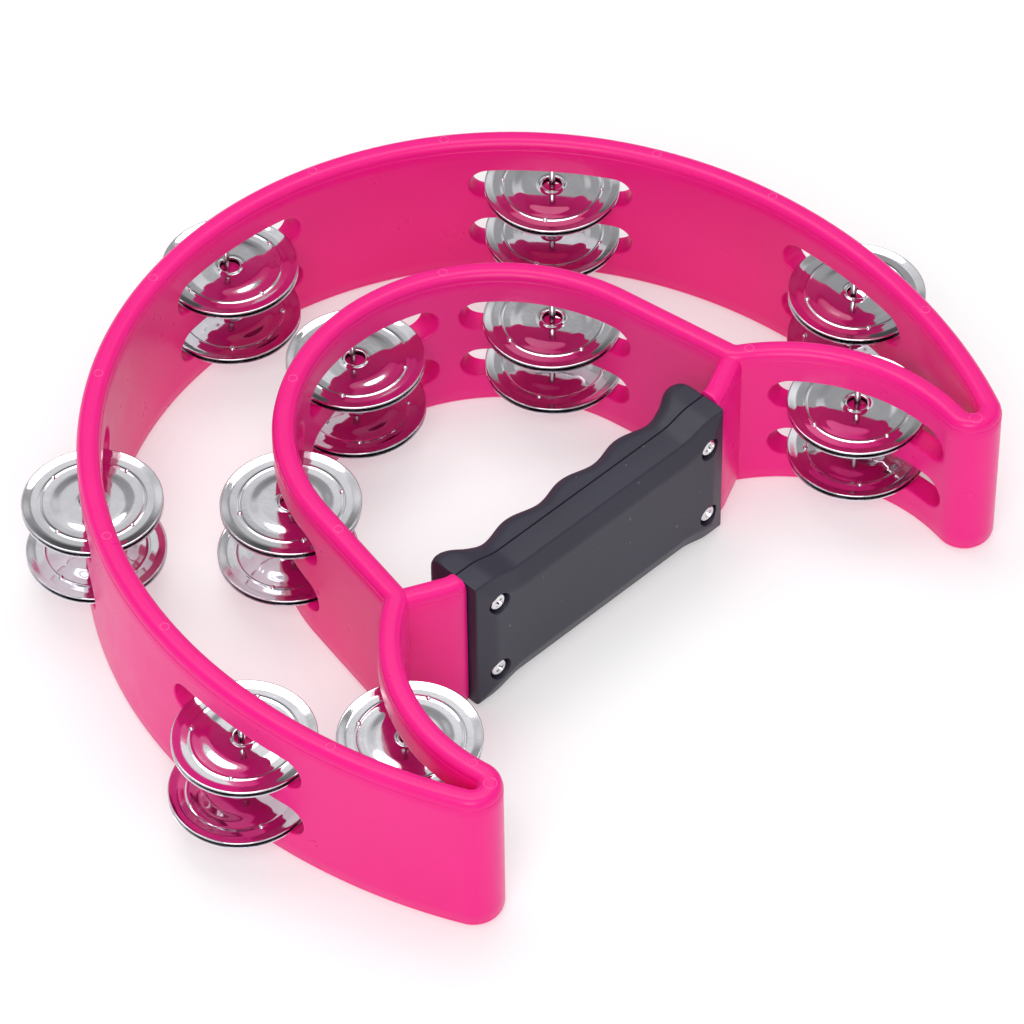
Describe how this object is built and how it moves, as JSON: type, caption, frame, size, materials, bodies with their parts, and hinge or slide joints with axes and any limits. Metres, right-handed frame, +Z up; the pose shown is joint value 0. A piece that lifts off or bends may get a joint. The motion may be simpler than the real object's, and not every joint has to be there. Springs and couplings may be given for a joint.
{
  "type": "tambourine",
  "caption": "Cutaway hand tambourine: arched frame with two rows of jingle pairs on pins and a screwed-on grip with finger grooves.",
  "frame": {"origin": "bottom centre of the bounding box: on the plane of the lower rims, midway across the plan with its jingles", "axes": "+X runs along the grip to the right, +Y points from the grip to the outer arc, +Z is up out of the upper rims"},
  "size_m": [0.269, 0.2189, 0.0493],
  "materials": {
    "frame_plastic": "glossy moulded",
    "grip_plastic": "fine satin",
    "screw_steel": "plated",
    "pin_steel": "plain drawn wire",
    "jingle_chrome": "plated, mirror bright"
  },
  "bodies": {
    "handle_frame": {"frame": "frame_plastic", "grip_front": "grip_plastic", "grip_rear": "grip_plastic", "grip_screw_1": "screw_steel", "grip_screw_2": "screw_steel", "grip_screw_3": "screw_steel", "grip_screw_4": "screw_steel", "pin_outer1": "pin_steel", "pin_outer2": "pin_steel", "pin_outer3": "pin_steel", "pin_outer4": "pin_steel", "pin_outer5": "pin_steel", "pin_inner1": "pin_steel", "pin_inner2": "pin_steel", "pin_inner3": "pin_steel", "pin_inner4": "pin_steel", "pin_inner5": "pin_steel"},
    "jingle_outer1_lower_under": {"jingle_outer1_lower_under": "jingle_chrome"},
    "jingle_outer1_lower_over": {"jingle_outer1_lower_over": "jingle_chrome"},
    "jingle_outer1_upper_under": {"jingle_outer1_upper_under": "jingle_chrome"},
    "jingle_outer1_upper_over": {"jingle_outer1_upper_over": "jingle_chrome"},
    "jingle_outer2_lower_under": {"jingle_outer2_lower_under": "jingle_chrome"},
    "jingle_outer2_lower_over": {"jingle_outer2_lower_over": "jingle_chrome"},
    "jingle_outer2_upper_under": {"jingle_outer2_upper_under": "jingle_chrome"},
    "jingle_outer2_upper_over": {"jingle_outer2_upper_over": "jingle_chrome"},
    "jingle_outer3_lower_under": {"jingle_outer3_lower_under": "jingle_chrome"},
    "jingle_outer3_lower_over": {"jingle_outer3_lower_over": "jingle_chrome"},
    "jingle_outer3_upper_under": {"jingle_outer3_upper_under": "jingle_chrome"},
    "jingle_outer3_upper_over": {"jingle_outer3_upper_over": "jingle_chrome"},
    "jingle_outer4_lower_under": {"jingle_outer4_lower_under": "jingle_chrome"},
    "jingle_outer4_lower_over": {"jingle_outer4_lower_over": "jingle_chrome"},
    "jingle_outer4_upper_under": {"jingle_outer4_upper_under": "jingle_chrome"},
    "jingle_outer4_upper_over": {"jingle_outer4_upper_over": "jingle_chrome"},
    "jingle_outer5_lower_under": {"jingle_outer5_lower_under": "jingle_chrome"},
    "jingle_outer5_lower_over": {"jingle_outer5_lower_over": "jingle_chrome"},
    "jingle_outer5_upper_under": {"jingle_outer5_upper_under": "jingle_chrome"},
    "jingle_outer5_upper_over": {"jingle_outer5_upper_over": "jingle_chrome"},
    "jingle_inner1_lower_under": {"jingle_inner1_lower_under": "jingle_chrome"},
    "jingle_inner1_lower_over": {"jingle_inner1_lower_over": "jingle_chrome"},
    "jingle_inner1_upper_under": {"jingle_inner1_upper_under": "jingle_chrome"},
    "jingle_inner1_upper_over": {"jingle_inner1_upper_over": "jingle_chrome"},
    "jingle_inner2_lower_under": {"jingle_inner2_lower_under": "jingle_chrome"},
    "jingle_inner2_lower_over": {"jingle_inner2_lower_over": "jingle_chrome"},
    "jingle_inner2_upper_under": {"jingle_inner2_upper_under": "jingle_chrome"},
    "jingle_inner2_upper_over": {"jingle_inner2_upper_over": "jingle_chrome"},
    "jingle_inner3_lower_under": {"jingle_inner3_lower_under": "jingle_chrome"},
    "jingle_inner3_lower_over": {"jingle_inner3_lower_over": "jingle_chrome"},
    "jingle_inner3_upper_under": {"jingle_inner3_upper_under": "jingle_chrome"},
    "jingle_inner3_upper_over": {"jingle_inner3_upper_over": "jingle_chrome"},
    "jingle_inner4_lower_under": {"jingle_inner4_lower_under": "jingle_chrome"},
    "jingle_inner4_lower_over": {"jingle_inner4_lower_over": "jingle_chrome"},
    "jingle_inner4_upper_under": {"jingle_inner4_upper_under": "jingle_chrome"},
    "jingle_inner4_upper_over": {"jingle_inner4_upper_over": "jingle_chrome"},
    "jingle_inner5_lower_under": {"jingle_inner5_lower_under": "jingle_chrome"},
    "jingle_inner5_lower_over": {"jingle_inner5_lower_over": "jingle_chrome"},
    "jingle_inner5_upper_under": {"jingle_inner5_upper_under": "jingle_chrome"},
    "jingle_inner5_upper_over": {"jingle_inner5_upper_over": "jingle_chrome"}
  },
  "joints": [
    {"name": "jingle_outer1_lower_under_slide", "type": "slide", "parent": "handle_frame", "child": "jingle_outer1_lower_under", "axis": [0, 0, 1], "range_m": [0, 0.00335]},
    {"name": "jingle_outer1_lower_over_slide", "type": "slide", "parent": "jingle_outer1_lower_under", "child": "jingle_outer1_lower_over", "axis": [0, 0, 1], "range_m": [0, 0.00335]},
    {"name": "jingle_outer1_upper_under_slide", "type": "slide", "parent": "handle_frame", "child": "jingle_outer1_upper_under", "axis": [0, 0, 1], "range_m": [0, 0.00335]},
    {"name": "jingle_outer1_upper_over_slide", "type": "slide", "parent": "jingle_outer1_upper_under", "child": "jingle_outer1_upper_over", "axis": [0, 0, 1], "range_m": [0, 0.00335]},
    {"name": "jingle_outer2_lower_under_slide", "type": "slide", "parent": "handle_frame", "child": "jingle_outer2_lower_under", "axis": [0, 0, 1], "range_m": [0, 0.00335]},
    {"name": "jingle_outer2_lower_over_slide", "type": "slide", "parent": "jingle_outer2_lower_under", "child": "jingle_outer2_lower_over", "axis": [0, 0, 1], "range_m": [0, 0.00335]},
    {"name": "jingle_outer2_upper_under_slide", "type": "slide", "parent": "handle_frame", "child": "jingle_outer2_upper_under", "axis": [0, 0, 1], "range_m": [0, 0.00335]},
    {"name": "jingle_outer2_upper_over_slide", "type": "slide", "parent": "jingle_outer2_upper_under", "child": "jingle_outer2_upper_over", "axis": [0, 0, 1], "range_m": [0, 0.00335]},
    {"name": "jingle_outer3_lower_under_slide", "type": "slide", "parent": "handle_frame", "child": "jingle_outer3_lower_under", "axis": [0, 0, 1], "range_m": [0, 0.00335]},
    {"name": "jingle_outer3_lower_over_slide", "type": "slide", "parent": "jingle_outer3_lower_under", "child": "jingle_outer3_lower_over", "axis": [0, 0, 1], "range_m": [0, 0.00335]},
    {"name": "jingle_outer3_upper_under_slide", "type": "slide", "parent": "handle_frame", "child": "jingle_outer3_upper_under", "axis": [0, 0, 1], "range_m": [0, 0.00335]},
    {"name": "jingle_outer3_upper_over_slide", "type": "slide", "parent": "jingle_outer3_upper_under", "child": "jingle_outer3_upper_over", "axis": [0, 0, 1], "range_m": [0, 0.00335]},
    {"name": "jingle_outer4_lower_under_slide", "type": "slide", "parent": "handle_frame", "child": "jingle_outer4_lower_under", "axis": [0, 0, 1], "range_m": [0, 0.00335]},
    {"name": "jingle_outer4_lower_over_slide", "type": "slide", "parent": "jingle_outer4_lower_under", "child": "jingle_outer4_lower_over", "axis": [0, 0, 1], "range_m": [0, 0.00335]},
    {"name": "jingle_outer4_upper_under_slide", "type": "slide", "parent": "handle_frame", "child": "jingle_outer4_upper_under", "axis": [0, 0, 1], "range_m": [0, 0.00335]},
    {"name": "jingle_outer4_upper_over_slide", "type": "slide", "parent": "jingle_outer4_upper_under", "child": "jingle_outer4_upper_over", "axis": [0, 0, 1], "range_m": [0, 0.00335]},
    {"name": "jingle_outer5_lower_under_slide", "type": "slide", "parent": "handle_frame", "child": "jingle_outer5_lower_under", "axis": [0, 0, 1], "range_m": [0, 0.00335]},
    {"name": "jingle_outer5_lower_over_slide", "type": "slide", "parent": "jingle_outer5_lower_under", "child": "jingle_outer5_lower_over", "axis": [0, 0, 1], "range_m": [0, 0.00335]},
    {"name": "jingle_outer5_upper_under_slide", "type": "slide", "parent": "handle_frame", "child": "jingle_outer5_upper_under", "axis": [0, 0, 1], "range_m": [0, 0.00335]},
    {"name": "jingle_outer5_upper_over_slide", "type": "slide", "parent": "jingle_outer5_upper_under", "child": "jingle_outer5_upper_over", "axis": [0, 0, 1], "range_m": [0, 0.00335]},
    {"name": "jingle_inner1_lower_under_slide", "type": "slide", "parent": "handle_frame", "child": "jingle_inner1_lower_under", "axis": [0, 0, 1], "range_m": [0, 0.00335]},
    {"name": "jingle_inner1_lower_over_slide", "type": "slide", "parent": "jingle_inner1_lower_under", "child": "jingle_inner1_lower_over", "axis": [0, 0, 1], "range_m": [0, 0.00335]},
    {"name": "jingle_inner1_upper_under_slide", "type": "slide", "parent": "handle_frame", "child": "jingle_inner1_upper_under", "axis": [0, 0, 1], "range_m": [0, 0.00335]},
    {"name": "jingle_inner1_upper_over_slide", "type": "slide", "parent": "jingle_inner1_upper_under", "child": "jingle_inner1_upper_over", "axis": [0, 0, 1], "range_m": [0, 0.00335]},
    {"name": "jingle_inner2_lower_under_slide", "type": "slide", "parent": "handle_frame", "child": "jingle_inner2_lower_under", "axis": [0, 0, 1], "range_m": [0, 0.00335]},
    {"name": "jingle_inner2_lower_over_slide", "type": "slide", "parent": "jingle_inner2_lower_under", "child": "jingle_inner2_lower_over", "axis": [0, 0, 1], "range_m": [0, 0.00335]},
    {"name": "jingle_inner2_upper_under_slide", "type": "slide", "parent": "handle_frame", "child": "jingle_inner2_upper_under", "axis": [0, 0, 1], "range_m": [0, 0.00335]},
    {"name": "jingle_inner2_upper_over_slide", "type": "slide", "parent": "jingle_inner2_upper_under", "child": "jingle_inner2_upper_over", "axis": [0, 0, 1], "range_m": [0, 0.00335]},
    {"name": "jingle_inner3_lower_under_slide", "type": "slide", "parent": "handle_frame", "child": "jingle_inner3_lower_under", "axis": [0, 0, 1], "range_m": [0, 0.00335]},
    {"name": "jingle_inner3_lower_over_slide", "type": "slide", "parent": "jingle_inner3_lower_under", "child": "jingle_inner3_lower_over", "axis": [0, 0, 1], "range_m": [0, 0.00335]},
    {"name": "jingle_inner3_upper_under_slide", "type": "slide", "parent": "handle_frame", "child": "jingle_inner3_upper_under", "axis": [0, 0, 1], "range_m": [0, 0.00335]},
    {"name": "jingle_inner3_upper_over_slide", "type": "slide", "parent": "jingle_inner3_upper_under", "child": "jingle_inner3_upper_over", "axis": [0, 0, 1], "range_m": [0, 0.00335]},
    {"name": "jingle_inner4_lower_under_slide", "type": "slide", "parent": "handle_frame", "child": "jingle_inner4_lower_under", "axis": [0, 0, 1], "range_m": [0, 0.00335]},
    {"name": "jingle_inner4_lower_over_slide", "type": "slide", "parent": "jingle_inner4_lower_under", "child": "jingle_inner4_lower_over", "axis": [0, 0, 1], "range_m": [0, 0.00335]},
    {"name": "jingle_inner4_upper_under_slide", "type": "slide", "parent": "handle_frame", "child": "jingle_inner4_upper_under", "axis": [0, 0, 1], "range_m": [0, 0.00335]},
    {"name": "jingle_inner4_upper_over_slide", "type": "slide", "parent": "jingle_inner4_upper_under", "child": "jingle_inner4_upper_over", "axis": [0, 0, 1], "range_m": [0, 0.00335]},
    {"name": "jingle_inner5_lower_under_slide", "type": "slide", "parent": "handle_frame", "child": "jingle_inner5_lower_under", "axis": [0, 0, 1], "range_m": [0, 0.00335]},
    {"name": "jingle_inner5_lower_over_slide", "type": "slide", "parent": "jingle_inner5_lower_under", "child": "jingle_inner5_lower_over", "axis": [0, 0, 1], "range_m": [0, 0.00335]},
    {"name": "jingle_inner5_upper_under_slide", "type": "slide", "parent": "handle_frame", "child": "jingle_inner5_upper_under", "axis": [0, 0, 1], "range_m": [0, 0.00335]},
    {"name": "jingle_inner5_upper_over_slide", "type": "slide", "parent": "jingle_inner5_upper_under", "child": "jingle_inner5_upper_over", "axis": [0, 0, 1], "range_m": [0, 0.00335]}
  ]
}
